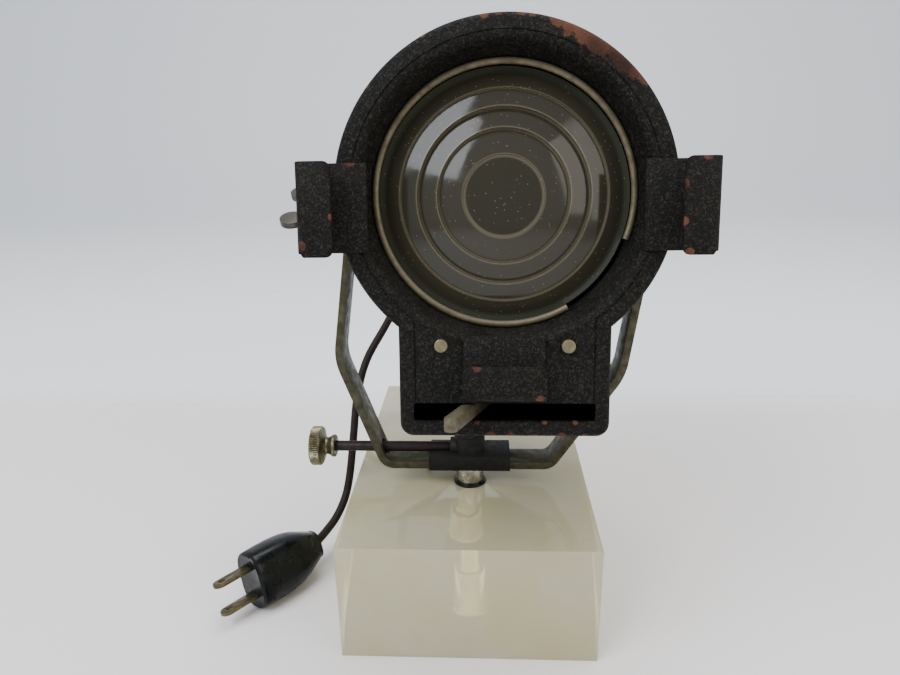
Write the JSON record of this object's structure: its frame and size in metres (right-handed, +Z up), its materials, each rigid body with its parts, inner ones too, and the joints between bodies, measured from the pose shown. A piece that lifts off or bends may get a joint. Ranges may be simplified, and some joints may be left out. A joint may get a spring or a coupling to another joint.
{
  "type": "fresnel spotlight",
  "caption": "Small black sheet-metal fresnel spotlight with a stepped glass lens, frame clips and focus lever, in a flat-bar yoke on a clear block, with cord and plug.",
  "frame": {"origin": "centre of the clear block's underside", "axes": "+Z up; the lens looks along -Y at rest, tilted 10 degrees up; +X to the right seen from the front"},
  "size_m": [0.1839, 0.2045, 0.2329],
  "materials": {
    "acrylic": "polished clear block, slightly yellowed and hazy",
    "bright_steel": "plated, lightly worn",
    "black_rubber": "moulded, smooth with a dull bloom",
    "yoke_steel": "flat bar, worn dark plating",
    "saddle_black": "black casting",
    "rod_brown": "oxidised brown rod",
    "nickel": "dull nickel plate with straight knurling",
    "wrinkle_black": "black wrinkle paint with rust at worn edges",
    "lens_glass": "dusty pressed glass",
    "dull_wire": "dusty spring wire",
    "dull_steel": "zinc plated, dull",
    "fibre": "vulcanised fibre",
    "rod_steel": "drawn rod, dull",
    "lever_steel": "worn, dusty steel",
    "sheet_zinc": "bare plated sheet",
    "brass": "plain",
    "porcelain": "glazed ceramic",
    "bulb_glass": "clear glass",
    "reflector_mirror": "polished",
    "cord_jacket": "dark brown jacket",
    "blade_brass": "tarnished blades"
  },
  "bodies": {
    "base": {"base_block": "acrylic", "stud_bolt": "bright_steel", "stud_washer": "bright_steel", "foot_ring": "black_rubber", "collar": "bright_steel"},
    "yoke": {"yoke": "yoke_steel", "saddle": "saddle_black", "saddle_rivets": "yoke_steel", "cord": "cord_jacket", "plug_body": "black_rubber", "plug_blades": "blade_brass"},
    "clamp_screw": {"clamp_rod": "rod_brown", "clamp_knob": "nickel"},
    "head": {"front_plate": "wrinkle_black", "housing_shell": "wrinkle_black", "rear_cover": "wrinkle_black", "cover_screws": "dull_steel", "vent_cap": "wrinkle_black", "lens": "lens_glass", "lens_wire": "dull_wire", "left_clip": "wrinkle_black", "right_clip": "wrinkle_black", "bottom_clip": "wrinkle_black", "tilt_bosses": "wrinkle_black", "friction_washers": "fibre", "pivot_bolt": "dull_steel", "pivot_screw": "dull_steel", "nut_washer": "dull_steel", "guide_rods": "rod_steel", "rod_nuts": "dull_steel", "lever_pin": "dull_steel", "cable_gland": "dull_steel", "strain_relief": "black_rubber"},
    "wing_nut": {"wing_nut": "dull_steel"},
    "focus_lever": {"focus_lever": "lever_steel"},
    "carriage": {"carriage": "sheet_zinc", "carriage_bushes": "brass", "drive_pin": "dull_steel", "lamp_socket": "porcelain", "lamp_cap": "brass", "lamp_bulb": "bulb_glass", "reflector": "reflector_mirror", "reflector_bracket": "sheet_zinc", "reflector_rivet": "dull_steel"}
  },
  "joints": [
    {"name": "pan", "type": "hinge", "parent": "base", "child": "yoke", "pos_m": [0, -0.02858, 0.06], "axis": [0, 0, 1], "range_deg": [-5, 35]},
    {"name": "clamp_turn", "type": "hinge", "parent": "yoke", "child": "clamp_screw", "pos_m": [-0.06, -0.02858, 0.0675], "axis": [1, 0, 0], "continuous": true},
    {"name": "tilt", "type": "hinge", "parent": "yoke", "child": "head", "pos_m": [0.0125, -0.02858, 0.1719], "axis": [1, 0, 0], "range_deg": [-35, 40]},
    {"name": "wing_nut_turn", "type": "hinge", "parent": "head", "child": "wing_nut", "pos_m": [-0.0525, -0.02858, 0.1719], "axis": [1, 0, 0], "continuous": true},
    {"name": "focus_swing", "type": "hinge", "parent": "head", "child": "focus_lever", "pos_m": [0.0125, -0.07381, 0.11519], "axis": [0, 0.1736, 0.9848], "range_deg": [-13, 47]},
    {"name": "carriage_slide", "type": "slide", "parent": "head", "child": "carriage", "axis": [0, 0.9848, -0.1736], "range_m": [-0.004, 0.0146]}
  ],
  "couplings": [
    {"joint": "focus_swing", "follows": "carriage_slide", "rad_per_m": 55.556}
  ]
}
